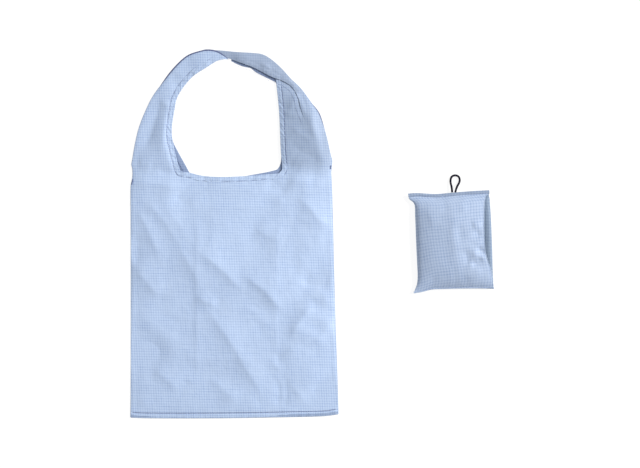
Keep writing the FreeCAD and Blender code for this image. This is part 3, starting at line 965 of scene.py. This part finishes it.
def front_height(points):
    """Height of the front layer's upper side."""
    points = np.array(points, float)[:, :2]
    x, y = points[:, 0], points[:, 1]
    sides = np.minimum(*(gap_to(points, line) for line in CLOSED_SIDES.values()))
    bottom = gap_to(points, CLOSED_BOTTOM)
    edge = np.minimum(sides, bottom)
    hem = gap_to(points, HEM_FRONT)
    calm = 1 - np.exp(-edge / 14)
    turned = step(268, 286, y) * (x > -12)
    # the body's swell and its broad waves
    top = 2.0 + 1.5 * calm * (1 - turned)
    top += 2.2 * np.exp(-((x + 4) / 130) ** 2 - ((y + 110) / 150) ** 2) * calm
    top += 2.0 * calm * waves(points, 90, 20) * step(300, 90, y)
    # what lies loose: smaller waves, crumples and creases
    loose = calm * (1 - 0.8 * turned)
    top += loose * (0.5 * waves(points, 42, 21) + 0.12 * crumple(points, 14, 25))
    top += loose * creases(points, SMALL_CREASES, 0.45)
    top += leg_tilt(x, y, hem, sides)
    fold = PACKING_CREASES + PULL_CREASES + STRAP_CREASES
    top += creases(points, fold) * (1 - np.exp(-edge / 6)) * (1 - turned)
    # the sewn edges, which hold the cloth flatter and gather it
    near_hem = np.exp(-hem / 16)
    top = top * (1 - 0.35 * near_hem) + 0.35 * near_hem * 3.0
    top += hem_ridge(hem) + 0.55 * pucker(points, HEM_FRONT, 9.0, 9.0, 30)
    top += hem_gathers(points, HEM_FRONT, 36)
    top += hem_ridge(bottom, 0.4, 9.2, BOTTOM_STITCH_IN)
    top += 0.4 * pucker(points, CLOSED_BOTTOM, 8.0, 9.0, 31)
    for number, line in enumerate(CLOSED_SIDES.values()):
        top += 0.4 * pucker(points, line, 9.0, 8.0, 32 + number)
    top += 0.3 * step(7.4, 6.0, sides) * step(0.5, 2.5, sides)
    return np.maximum(top, LEAST_HIGH) + 3.2 * apex_lift(points)


def back_height(points):
    """Height of the back layer's upper side, nearly flat on the surface under it."""
    points = np.array(points, float)[:, :2]
    top = 0.85 + 0.22 * waves(points, 50, 40) + 0.12 * crumple(points, 22, 41)
    top += 0.25 * step(10.0, 8.6, gap_to(points, HEM_BACK))
    lifted = apex_lift(points) * (points[:, 0] < -10)
    return np.clip(top, 0.55, 1.35) + 2.9 * lifted


def turned_height(points):
    """Height of the strap's turned half: low under the left half, then over the right leg."""
    points = np.array(points, float)[:, :2]
    outline = joined(*TURNED_OUTLINE)
    rim = gap_to(points, np.vstack([outline, outline[:1]]))
    crown = 1 - np.exp(-rim / 8)
    free = step(-14, 16, points[:, 0])
    leg = step(20, 60, points[:, 0])
    base = 2.3 + 1.1 * free
    base = base * (1 - leg) + (front_height(points) + 0.6) * leg
    top = base + (0.2 + (2.0 - 1.3 * leg) * crown) * free
    top += free * crown * (0.9 * waves(points, 38, 50) + 0.5 * crumple(points, 24, 51))
    hem = hem_ridge(gap_to(points, HEM_TURNED))
    top += free * (hem + 0.5 * pucker(points, HEM_TURNED, 7.0, 8.0, 52))
    top += free * creases(points, TURNED_CREASES)
    tuck = step(62, 4, gap_to(points, hem_line(TURNED_END))) * leg
    return top * (1 - tuck) + (front_height(points) - 0.6) * tuck


# ---------------------------------------------------------------- the bag

HEM_ROWS = (1.4, 2.8, 4.2, 5.6, 6.8, 7.8, 8.8, 10.2)
BOTTOM_ROWS = (1.2, 2.4, 3.4, 4.6, 6.0, 7.0, 7.9, 8.8, 9.8, 11.0)
BOTTOM_PROFILE = [
    (-0.9, -0.4), (-0.7, 0.2), (0.2, 0.8), (1.4, 1.1), (3.2, 1.2), (4.6, 1.1), (5.2, 0.2),
    (5.0, -0.9), (-0.6, -1.0),
]
BOTTOM_SHADOW_LINE = [(-0.45, -0.5), (-0.35, 0.16), (0.35, 0.16), (0.45, -0.5)]
HEM_CREASE_SHADOW = [(-0.22, -0.5), (-0.18, 0.12), (0.18, 0.12), (0.22, -0.5)]
HEM_PROFILE = [
    (-0.5, -0.2), (-0.25, 0.15), (0.4, 0.2), (0.8, -0.3), (HEM, -0.35), (HEM, -0.75),
    (0.6, -0.95), (-0.2, -0.8), (-0.55, -0.5),
]
TURNED_HEM = [(across, -CLOTH - up) for across, up in HEM_PROFILE]  # folded up, not down
HALVES_OVERLAP = 3.5        # of a side seam's two halves, each way past SPLIT
FOLD_SHADOW_LEFT = 262.0      # above this the strap's left edge gets a painted shadow strip along its fold
FOLD_SHADOW_RIGHT = (178.0, 240.0)    # and between these its right one
TACKS = {"left": (88.0, 100.0), "right": (116.0, 125.0)}    # each tack lies between these


def vertex_normals(points, faces):
    """Smooth normals of a sheet of triangles, weighted by area."""
    corners = points[np.array(faces)]
    across = np.cross(corners[:, 1] - corners[:, 0], corners[:, 2] - corners[:, 0])
    total = np.zeros_like(points)
    for corner in range(3):
        np.add.at(total, np.array(faces)[:, corner], across)
    return unit(total)


def sheet_area(flat, faces):
    """Area of a flat sheet of triangles."""
    corners = flat[np.array(faces)]
    a, b = corners[:, 1] - corners[:, 0], corners[:, 2] - corners[:, 0]
    return float(np.abs(a[:, 0] * b[:, 1] - a[:, 1] * b[:, 0]).sum() / 2)


def halves(flat, faces, top):
    """Splits a sheet's faces at SPLIT: (flat, faces, top, smooth normals) for each half."""
    normals = vertex_normals(np.column_stack([flat, top]), faces)
    middles = np.array([flat[face, 1].mean() for face in faces])
    for chosen in (middles >= SPLIT, middles < SPLIT):
        part = [face for face, wanted in zip(faces, chosen) if wanted]
        used = sorted({i for face in part for i in face})
        number = {old: new for new, old in enumerate(used)}
        yield flat[used], [[number[i] for i in face] for face in part], top[used], normals[used]


def panel(name, outline, spacing, height, outer_up, materials, nodes, rows_along=()):
    """One layer of the bag as an upper and a lower piece."""
    flat, faces = lattice(joined(*outline, spacing=min(spacing, 2.2)), spacing, rows_along)
    parts = halves(flat, faces, height(flat))
    for (flat, faces, top, normals), side, fold in zip(parts, nodes, FOLDS):
        piece = cloth(f"{name}_{side}", flat, faces, top, outer_up)
        # normals from the whole panel, so that no line shows between its pieces
        both = np.vstack([normals, -normals])
        piece.data.normals_split_custom_set_from_vertices([tuple(n) for n in both])
        finish_piece(piece, materials, nodes[side], blend=fold)
        area = sheet_area(flat, faces)
        size = np.ptp(flat, axis=0)


def raised(line, height, lift=0.0):
    """A line in the plane, laid on a height function."""
    line = np.array(line, float)[:, :2]
    return np.column_stack([line, height(line) + lift])


def part_of(line, low, high):
    """The points of a line between two heights up the bag."""
    return line[(line[:, 1] > low) & (line[:, 1] < high)]


def seam_rolls():
    """The closed sides show their seam as a thin roll, and the bottom as a wider one."""
    rim = oval(1.7, 1.9)
    # the rolls' darker cloth is painted shade
    for side, line in CLOSED_SIDES.items():
        place = raised(line, front_height, -0.95)
        upper = part_of(place, SPLIT - HALVES_OVERLAP, math.inf)
        lower = part_of(place, -math.inf, SPLIT + HALVES_OVERLAP)
        for half, part, more, fold in (
            ("upper", upper, [f"strap_edge_{side}"], "handle"),
            ("lower", lower, [], "lower"),
        ):
            nodes = [f"side_seam_{side}_{half}", *more]
            edging(f"side_seam_roll_{side}_{half}", part, rim, SEAM_SHADE, nodes, blend=fold)
    band = inset(CLOSED_BOTTOM[1:-1], BOTTOM_LINE_IN)
    for name, line, lift, profile, tone in (
        ("bottom_seam_roll", CLOSED_BOTTOM, -0.9, BOTTOM_PROFILE, SEAM_SHADE),
        # painted shadow: a thin dark strip along the fold that closes the bottom band
        ("bottom_seam_fold_shadow", band, 0.0, BOTTOM_SHADOW_LINE, FOLD_SHADOW),
    ):
        place = raised(line, front_height, lift)
        edging(name, place, profile[::-1], tone, ["bottom_seam"], blend="lower")
    row = raised(inset(CLOSED_BOTTOM[2:-2], BOTTOM_STITCH_IN), front_height)
    sizes = {"length": 2.7, "thick": 0.5}
    sewing("bottom_stitches", [row], ["bottom_stitching"], sizes, blend="lower")


def fold_shadow_edges():
    """Dark tubes of painted shadow along the strap's folded edges: round its top left, and on the
    right leg's shoulder.
    """
    left = part_of(LEFT_OUTER_LINE, FOLD_SHADOW_LEFT, math.inf)[::-1]
    left = even(np.vstack([left[:-1], hem_line(STRAP_FOLD_EDGE[::-1])]), 3.0)
    right = part_of(even(smooth_curve(RIGHT_STRAP_OUTER), 3.0), *FOLD_SHADOW_RIGHT)
    for side, line, lift, profile, node in (
        ("left", left, -1.2, oval(4.2, 1.4, 12, (0.8, 0.0)), "strap_join_seam"),
        ("right", right, -0.9, oval(2.4, 1.6, 12, (-0.7, 0.0)), "strap_edge_right"),
    ):
        place = raised(line, front_height, lift)
        edging(f"strap_fold_shadow_{side}", place, profile, FOLD_SHADOW, [node], 30.0, body="handle")


def hems():
    """The hem of each layer is a strip folded to the inside of the bag and stitched down."""
    for side, line, height, profile, tone in (
        ("front", HEM_FRONT, front_height, HEM_PROFILE, OUTER),
        # the back hem strip carries the painted shade of the inside
        ("back", HEM_BACK, back_height, TURNED_HEM, INSIDE_SHADE),
    ):
        place = raised(line[2:-6], height, -0.1)
        nodes = [f"mouth_hem_{side}", f"strap_hem_left_{side}", f"strap_hem_right_{side}"]
        edging(f"hem_strip_{side}", place, profile[::-1], tone, nodes, blend="handle")
    # painted shadow: a thin dark strip for the shaded crease beside the front hem's stitches
    place = raised(inset(HEM_FRONT, HEM_CREASE_IN)[3:-7], front_height)
    nodes = ["mouth_hem_front"]
    edging("hem_crease_shadow_front", place, HEM_CREASE_SHADOW[::-1], FOLD_SHADOW, nodes, blend="handle")
    front = raised(inset(HEM_FRONT, STITCH_IN)[2:-6], front_height)
    back = raised(inset(HEM_BACK, STITCH_IN)[4:-8], back_height, 0.3)
    nodes = ["mouth_stitching", "strap_stitching_left", "strap_stitching_right"]
    for side, row in (("front", front), ("back", back)):
        sewing(f"hem_stitches_{side}", [row], nodes, {"thick": 0.55}, blend="handle")


def shoulder_tacks():
    """A short dense tack ends each side seam where the strap begins."""
    for side, line in CLOSED_SIDES.items():
        run = even(part_of(line, *TACKS[side]), 0.9)
        place = inset(run, 0.4)
        across = inset(run, 2.6) - place
        rows = [
            raised(np.array([start - way * 0.3, start + way]), front_height, 0.15)
            for start, way in zip(place, across)
        ]
        sizes = {"length": 2.6, "pitch": 2.8, "thick": 0.8}
        sewing(f"shoulder_tack_{side}", rows, [f"side_seam_{side}_upper"], sizes, blend="handle")


def strap_join():
    """The right half of the strap, turned over and sewn to the left half."""
    flat, faces = lattice(joined(*TURNED_OUTLINE, spacing=2.4), 2.4)
    turned = cloth("strap_turned", flat, faces, turned_height(flat), outer_up=False)
    finish_piece(turned, (OUTER, TURNED), ["strap_join_seam"], body="handle")
    area = sheet_area(flat, faces)


def bag():
    """Every piece of the bag itself."""
    for side, outline, spacing, height, outer_up, reverse, rows_along in (
        ("front", FRONT_OUTLINE, 2.8, front_height, True, REVERSE,
         [(HEM_FRONT, HEM_ROWS), (CLOSED_BOTTOM, BOTTOM_ROWS)]),
        # the back layer's visible inside carries painted shade
        ("back", BACK_OUTLINE, 4.5, back_height, False, INSIDE_SHADE, ()),
    ):
        nodes = {
            "upper": [f"{side}_panel_upper", f"strap_left_{side}", f"strap_right_{side}"],
            "lower": [f"{side}_panel_lower"],
        }
        materials = (OUTER, reverse)
        panel(f"{side}_cloth", outline, spacing, height, outer_up, materials, nodes, rows_along)
    strap_join()
    seam_rolls()
    fold_shadow_edges()
    hems()
    shoulder_tacks()
    row = raised(inset(HEM_TURNED[6:-16], STITCH_IN), turned_height)
    sewing("strap_join_stitches", [row], ["strap_join_seam"], body="handle")


# ---------------------------------------------------------------- the pouch

POUCH_TOP_EDGE = [
    (312.5, 71), (320, 71.8), (332, 72), (362, 70.4), (394.4, 73), (427.5, 75.6), (458.5, 77.2),
]
POUCH_BOTTOM_EDGE = [
    (322.5, -107), (338, -104.5), (353.7, -100.4), (381, -99), (418.5, -98.4), (450, -98.4),
    (467, -99),
]
POUCH_LEFT_EDGE = [
    (322.5, -107), (328.5, -90), (329.5, -76), (328.5, -52), (326.7, -13.5), (325, 30),
    (323, 54), (314, 62.5), (312.5, 71),
]
POUCH_RIGHT_EDGE = [
    (467, -99), (465.4, -82), (464.4, -57), (463.3, -20), (461.2, 31), (459, 66), (458.5, 77.2),
]
POUCH_FREE_EDGE = [
    (466, -99), (464, -84), (459.5, -63), (452.5, -43), (448.8, -20), (448, 31), (450, 62),
    (456, 77),
]
POUCH_CREASES = [
    (1.4, 18, 9, [(398, 50), (392, 0), (398, -40), (404, -90)]),
    (-1.9, 5, 5, [(418, -26), (416, -38), (419, -50), (428, -54)]),
    (-2.8, 4, 5, [(422, -55), (436, -53), (448, -43)]),
    (2.0, 5, 5, [(424, -34), (436, -40), (452, -46)]),
    (-2.6, 3, 4, [(434, -24), (443, -31), (452, -36)]),
    (-1.6, 3, 4, [(431, 8), (437, 0), (440, -8)]),
    (1.8, 6, 4, [(426, 12), (436, 16), (444, 10)]),
    (-1.2, 8, 8, [(408, 20), (404, 0), (408, -24)]),
    (1.6, 8, 6, [(446, -60), (430, -74), (412, -84)]),
    (-1.2, 5, 5, [(456, -72), (438, -84), (424, -92)]),
    (-1.2, 6, 6, [(350, -76), (364, -88), (378, -94)]),
    (1.2, 8, 6, [(340, 52), (352, 30), (358, 0)]),
    (-1.0, 6, 6, [(372, 62), (378, 48), (380, 34)]),
    (1.0, 5, 5, [(404, 62), (410, 48), (420, 40)]),
]
POUCH_TOP_ROLL = [
    (-0.8, -0.4), (-0.6, 0.5), (0.6, 1.5), (3.0, 1.7), (5.2, 1.2), (5.6, 0.2), (5.0, -0.9), (0, -1),
]
POUCH_BOTTOM_ROLL = [
    (-0.8, -0.4), (-0.7, 0.3), (0.0, 0.85), (1.0, 0.9), (2.2, 0.6), (2.4, -0.6), (0, -1),
]
POUCH_ROUND = 9.0       # how far its tightly rounded sides reach in
POUCH_WIDE_ROUND = 74.0     # and their long slow rise
POUCH_CROWN = 17.0      # from the seams to the highest cloth
POUCH_UNDER = 5.0       # from the seams down to the lowest cloth
POUCH_EDGE = POUCH_SEAM + 0.3   # height of the layers where they are sewn together

# Each seam: side, edge, way it turns, profile, cloth, and its stitches' place and height.
POUCH_SEAMS = (
    ("top", POUCH_TOP_EDGE, -1, POUCH_TOP_ROLL, POUCH_SEAM_SHADE, 4.4, 1.75),
    ("bottom", POUCH_BOTTOM_EDGE, 1, POUCH_BOTTOM_ROLL, POUCH_OUTER, 1.4, 1.15),
)


def ease_edges(count, power=1.3):
    """Shares from 0 to 1, closer together towards both ends."""
    share = np.linspace(-1, 1, count)
    return 0.5 + 0.5 * np.sign(share) * (1 - (1 - np.abs(share)) ** power)


def row_points(line, shares):
    """Points at given shares of a smooth line's length."""
    line = even(smooth_curve(line), 0.5)
    at = np.linspace(0, 1, len(line))
    return np.stack([np.interp(shares, at, column) for column in line.T], axis=1)


def between(left, right, bottom, top, u, v):
    """A grid of points inside four edges: left and right run upwards, the others rightwards."""
    west, east = row_points(left, v), row_points(right, v)
    south, north = row_points(bottom, u), row_points(top, u)
    uu, vv = u[None, :, None], v[:, None, None]
    corners = (1 - uu) * (1 - vv) * south[0] + uu * (1 - vv) * south[-1]
    corners = corners + (1 - uu) * vv * north[0] + uu * vv * north[-1]
    sides = (1 - uu) * west[:, None] + uu * east[:, None]
    ends = (1 - vv) * south[None] + vv * north[None]
    return sides + ends - corners


def rounded_side(gap):
    """A short round edge that goes over into a long slow rise."""
    tight, wide = (
        np.sqrt(1 - (1 - np.minimum(gap / reach, 1)) ** 2)
        for reach in (POUCH_ROUND, POUCH_WIDE_ROUND)
    )
    return 0.11 * tight + 0.89 * wide


def pouch_swell(points):
    """How full the pouch is at each point by its ends, its left and its right: 0 on the seams."""
    left, right, low, high = (
        gap_to(points, smooth_curve(line))
        for line in (POUCH_LEFT_EDGE, POUCH_RIGHT_EDGE, POUCH_BOTTOM_EDGE, POUCH_TOP_EDGE)
    )
    low = 1 - np.exp(-np.maximum(low - 1.5, 0) / 19)
    high = 1 - np.exp(-np.maximum(high - 5, 0) / 15)
    return low * high, rounded_side(left), rounded_side(right)


def pouch_wrinkles(points):
    """Height of everything that creases the pouch's front."""
    total = creases(points, POUCH_CREASES)
    total += 0.9 * waves(points, 70, 60) + 0.25 * crumple(points, 30, 61)
    total += 1.5 * pucker(points, smooth_curve(POUCH_TOP_EDGE), 15, 17, 62)
    total += 2.1 * pucker(points, smooth_curve(POUCH_BOTTOM_EDGE), 13, 17, 63)
    return total


def thick_grid(name, grid, flat, outer_first):
    """A closed sheet on a grid of 3D points, its second side inset along the normals."""
    rows, columns = grid.shape[:2]
    normal = unit(np.cross(np.gradient(grid, axis=1), np.gradient(grid, axis=0)))
    faces = [
        [r * columns + c, r * columns + c + 1, (r + 1) * columns + c + 1, (r + 1) * columns + c]
        for r in range(rows - 1)
        for c in range(columns - 1)
    ]
    first, second = (side.reshape(-1, 3) for side in (grid, grid - normal * CLOTH))
    rim_slot = 0 if outer_first else 1
    return closed_sheet(name, first, second, faces, flat.reshape(-1, 2), outer_first, rim_slot)


def run_lengths(grid):
    """Flat coordinates of a grid: the length run across each row, and the height up the grid."""
    across = np.linalg.norm(np.diff(grid, axis=1), axis=2).cumsum(axis=1)
    across = np.hstack([np.zeros((len(grid), 1)), across])
    up = np.linalg.norm(np.diff(grid, axis=0), axis=2).cumsum(axis=0)
    up = np.vstack([np.zeros((1, grid.shape[1])), up]).mean(axis=1, keepdims=True)
    return np.stack([across, up + 0 * across], axis=2)


def pouch_front_grid():
    """The front layer, from the left edge to its free edge near the right one."""
    u, v = ease_edges(84, 1.6), ease_edges(96)
    plan = between(POUCH_LEFT_EDGE, POUCH_FREE_EDGE, POUCH_BOTTOM_EDGE, POUCH_TOP_EDGE, u, v)
    points = plan.reshape(-1, 2)
    ends, left, right = pouch_swell(points)
    height = POUCH_SEAM + 0.9 + POUCH_CROWN * ends * left * (0.3 + 0.7 * right)
    height = height + ends * left * np.minimum(1, right + 0.3) * pouch_wrinkles(points)
    return np.dstack([plan, height.reshape(plan.shape[:2])])


def edge_bow(line, share):
    """How far a line lies above the straight one between its ends, at shares of its width."""
    line = even(smooth_curve(line), 1.0)
    across = (line[:, 0] - line[0, 0]) / (line[-1, 0] - line[0, 0])
    bow = line[:, 1] - line[0, 1] - across * (line[-1, 1] - line[0, 1])
    return np.interp(share, across, bow)


def back_section(west, east, full):
    """(x, height) of points across the back layer: under the pouch, then round its right side."""
    low, middle = POUCH_EDGE - POUCH_UNDER * full, POUCH_EDGE + 2.0 * full
    high = POUCH_EDGE + (POUCH_CROWN * 0.58) * full
    reach = POUCH_ROUND * 0.6
    turns = [(math.sin(turn), math.cos(turn)) for turn in np.linspace(0, math.pi / 2, 9)]
    section = [
        (west + 0.3 + reach * (1 - c), POUCH_EDGE - (POUCH_EDGE - low) * s) for s, c in turns
    ]
    section += [(x, low) for x in np.linspace(west + reach + 4, east - reach - 4, 22)]
    section += [(east - reach * (1 - s), middle - (middle - low) * c) for s, c in turns]
    section += [(east - reach * (1 - c), middle + (high - middle) * s) for s, c in turns[1:]]
    section += [(east - reach - 4, high - 0.3 * full), (east - reach - 9, high - 1.2 * full)]
    return np.array(section)


def pouch_back_grid(count=60):
    """The back layer: from the left edge underneath, up round the right side, under the front."""
    shares = ease_edges(count)
    left, right = row_points(POUCH_LEFT_EDGE, shares), row_points(POUCH_RIGHT_EDGE, shares)
    rows = []
    for west, east, up in zip(left, right, shares):
        full = pouch_swell((west + east)[None] / 2)[0][0]
        section = back_section(west[0], east[0], full)
        x, height = even(section, length_of(section) / (count - 1)).T
        share = np.clip((x - west[0]) / (east[0] - west[0]), 0, 1)
        y = west[1] + (east[1] - west[1]) * share
        y = y + (1 - up) * edge_bow(POUCH_BOTTOM_EDGE, share) + up * edge_bow(POUCH_TOP_EDGE, share)
        rows.append(np.stack([x, y, height], axis=1))
    return np.array(rows)


def pouch_cloth(side, grid, way):
    """One layer of the pouch; way is -1 where the grid's own side is the inner one."""
    flat = run_lengths(grid)
    piece = thick_grid(f"pouch_{side}_cloth", grid[:, ::way], flat[:, ::way], way > 0)
    finish_piece(piece, (POUCH_OUTER, POUCH_REVERSE), [f"pouch_{side}"], body="pouch")


def pouch_seam(side, line, turn, shape, tone, stitch_in, stitch_high):
    """A sewn end of the pouch: the roll of its seam and a row of stitches."""
    edge = even(smooth_curve(line), 2.0)
    profile = [(turn * across, up) for across, up in shape][::-turn]
    roll = 0.35 * Noise(SEED + 70)(edge[:, 0] / 12, edge[:, 1] / 12)
    place = np.column_stack([edge, POUCH_EDGE + roll])
    nodes = [f"pouch_seam_{side}"]
    edging(f"pouch_seam_roll_{side}", place, profile, tone, nodes, body="pouch")
    row = inset(edge[3:-3], turn * stitch_in)
    row = np.column_stack([row, POUCH_SEAM + stitch_high + roll[3:-3]])
    sewing(f"pouch_stitches_{side}", [row], [f"pouch_stitching_{side}"], body="pouch")


def pouch():
    """Every piece of the pouch but its loop."""
    front, back = pouch_front_grid(), pouch_back_grid()
    pouch_cloth("front", front, 1)
    pouch_cloth("back", back, -1)
    for seam in POUCH_SEAMS:
        pouch_seam(*seam)
    for side, grid, lower, size in (
        ("front", front, 0.3, (1.3, 1.5)), ("back", back, 0.0, (1.2, 1.3)),
    ):
        line = grid[4:-4, -1] - [0, 0, lower]
        nodes = [f"pouch_hem_{side}"]
        edging(f"pouch_hem_roll_{side}", line, oval(*size, 8), POUCH_OUTER, nodes, body="pouch")


camera()
elastic_loop()
studio()
bag()
pouch()

boxes = {"cad": CAD_BOUNDS, "visual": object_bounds()}
{name: [list(corner) for corner in box] for name, box in boxes.items()}
